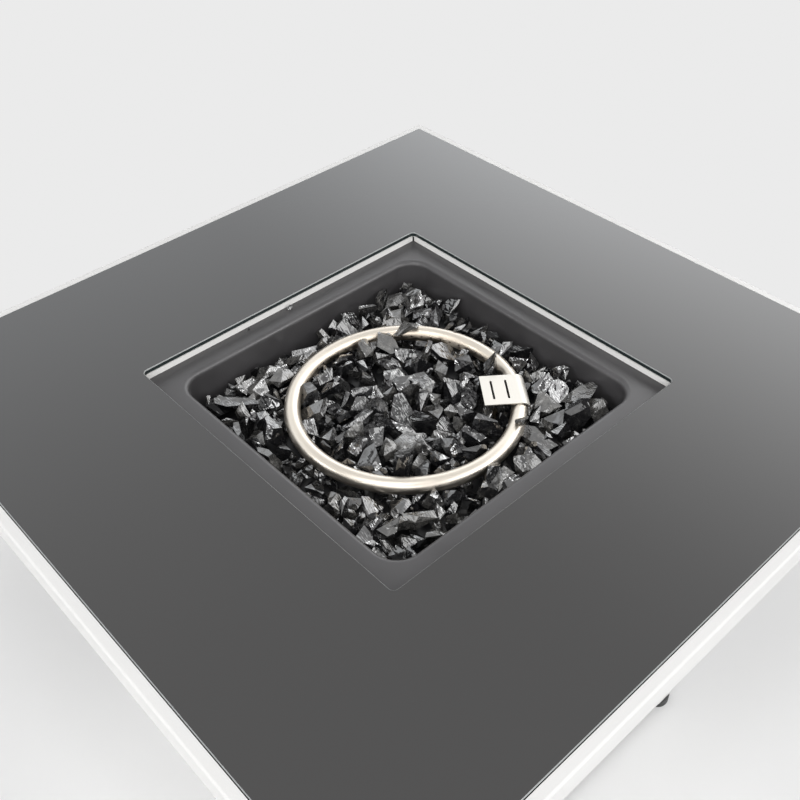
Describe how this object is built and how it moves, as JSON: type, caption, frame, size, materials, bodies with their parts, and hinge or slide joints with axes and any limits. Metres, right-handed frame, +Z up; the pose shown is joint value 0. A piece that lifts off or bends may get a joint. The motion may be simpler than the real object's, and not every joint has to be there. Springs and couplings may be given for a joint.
{
  "type": "gas fire pit table",
  "caption": "Square outdoor gas fire table with a dark glass top, a bowl of crushed glass over a ring burner, and a cabinet for the gas bottle.",
  "frame": {"origin": "on the floor, under the middle of the table", "axes": "+Z up; -Y the side of the control panel and the door; +X to the right seen from that side"},
  "size_m": [0.864, 0.864, 0.635],
  "materials": {
    "dark_glass": "tempered glass, coated dark grey on its underside, polished, glossy",
    "silicone": "clear silicone, matte",
    "white_powder": "white powder coat on sheet steel, satin",
    "white_frame": "white powder coat on steel tube, satin",
    "rivet_aluminium": "bare aluminium, satin",
    "rail_galvanised": "galvanised sheet, dull",
    "pan_black": "heat-proof black coat on steel, satin",
    "fire_glass": "crushed black glass, glossy broken faces",
    "burner_stainless": "stainless steel, polished",
    "shield_stainless": "stainless steel sheet, bead-blasted, satin",
    "bracket_steel": "bright steel sheet, satin",
    "ceramic": "glazed ceramic, glossy",
    "sensor_tip": "heat-tinted nickel alloy, satin",
    "mixer_steel": "zinc-plated steel, satin",
    "brass": "machined brass, satin",
    "feed_aluminium": "bare aluminium tube, satin",
    "heat_galvanised": "galvanised sheet, spangled, satin",
    "fastener_zinc": "zinc plate, satin",
    "stem_steel": "turned steel, satin",
    "spring_steel": "bright spring wire, glossy",
    "knob_metal": "satin-plated zinc casting, brushed",
    "bezel_black": "black powder coat, satin",
    "igniter_plastic": "moulded nylon, matte",
    "button_red": "moulded plastic, glossy",
    "cell_wrap": "printed film wrap with no marks, glossy",
    "spark_silicone": "silicone lead cover, satin",
    "copper_lead": "bare copper capillary, dull",
    "foot_plastic": "moulded polyethylene, matte",
    "pull_metal": "satin-plated, brushed",
    "hinge_steel": "nickel-plated steel, satin",
    "catch_plastic": "moulded plastic case, matte"
  },
  "bodies": {
    "table": {"glass_top": "dark_glass", "glass_pads": "silicone", "rim": "white_powder", "top_panel": "white_powder", "panel_rivets": "rivet_aluminium", "pan_rails": "rail_galvanised", "burner_pan": "pan_black", "fire_glass": "fire_glass", "burner_ring": "burner_stainless", "burner_legs": "bracket_steel", "burner_leg_screws": "fastener_zinc", "ignition_shield": "shield_stainless", "pilot_bracket": "bracket_steel", "spark_electrode": "ceramic", "thermocouple": "sensor_tip", "air_mixer": "mixer_steel", "gas_jet": "brass", "feed_tube": "feed_aluminium", "feed_nuts": "brass", "heat_shield": "heat_galvanised", "shield_spacers": "bracket_steel", "shield_bolts": "fastener_zinc", "valve_body": "brass", "knob_bezel": "bezel_black", "igniter_body": "igniter_plastic", "igniter_nut": "igniter_plastic", "button_spring": "spring_steel", "igniter_cell": "cell_wrap", "spark_lead": "spark_silicone", "thermocouple_lead": "copper_lead", "top_beams": "white_frame", "outriggers": "white_frame", "post_front_left": "white_frame", "post_front_right": "white_frame", "post_back_left": "white_frame", "post_back_right": "white_frame", "base_rails": "white_frame", "floor_tray": "heat_galvanised", "bottle_ring": "bracket_steel", "feet": "foot_plastic", "left_panel": "white_powder", "right_panel": "white_powder", "back_panel": "white_powder", "control_fascia": "white_powder", "post_hinge_leaves": "hinge_steel", "hinge_pins": "stem_steel", "post_hinge_screws": "fastener_zinc", "catch_magnet": "catch_plastic", "catch_screws": "fastener_zinc", "panel_screws": "fastener_zinc"},
    "door": {"door": "white_powder", "door_hinge_leaves": "hinge_steel", "door_hinge_screws": "fastener_zinc", "door_pull": "pull_metal", "catch_strike": "hinge_steel"},
    "valve_plug": {"valve_plug": "brass", "stem_spring": "spring_steel"},
    "gas_knob": {"valve_stem": "stem_steel", "control_knob": "knob_metal"},
    "igniter_button": {"igniter_button": "button_red"}
  },
  "joints": [
    {"name": "door_hinge", "type": "hinge", "parent": "table", "child": "door", "pos_m": [-0.24925, -0.2834, 0.255], "axis": [0, 0, -1], "range_deg": [0, 170]},
    {"name": "gas_turn", "type": "hinge", "parent": "table", "child": "valve_plug", "pos_m": [-0.11, -0.28, 0.533], "axis": [0, 1, 0], "range_deg": [-180, 0]},
    {"name": "gas_push", "type": "slide", "parent": "valve_plug", "child": "gas_knob", "axis": [0, 1, 0], "range_m": [0, 0.003], "stiffness_N_per_m": 600, "springref_m": -0.002, "deforming": ["stem_spring"]},
    {"name": "igniter_push", "type": "slide", "parent": "table", "child": "igniter_button", "axis": [0, 1, 0], "range_m": [0, 0.004], "stiffness_N_per_m": 500, "springref_m": -0.002, "deforming": ["button_spring"]}
  ]
}
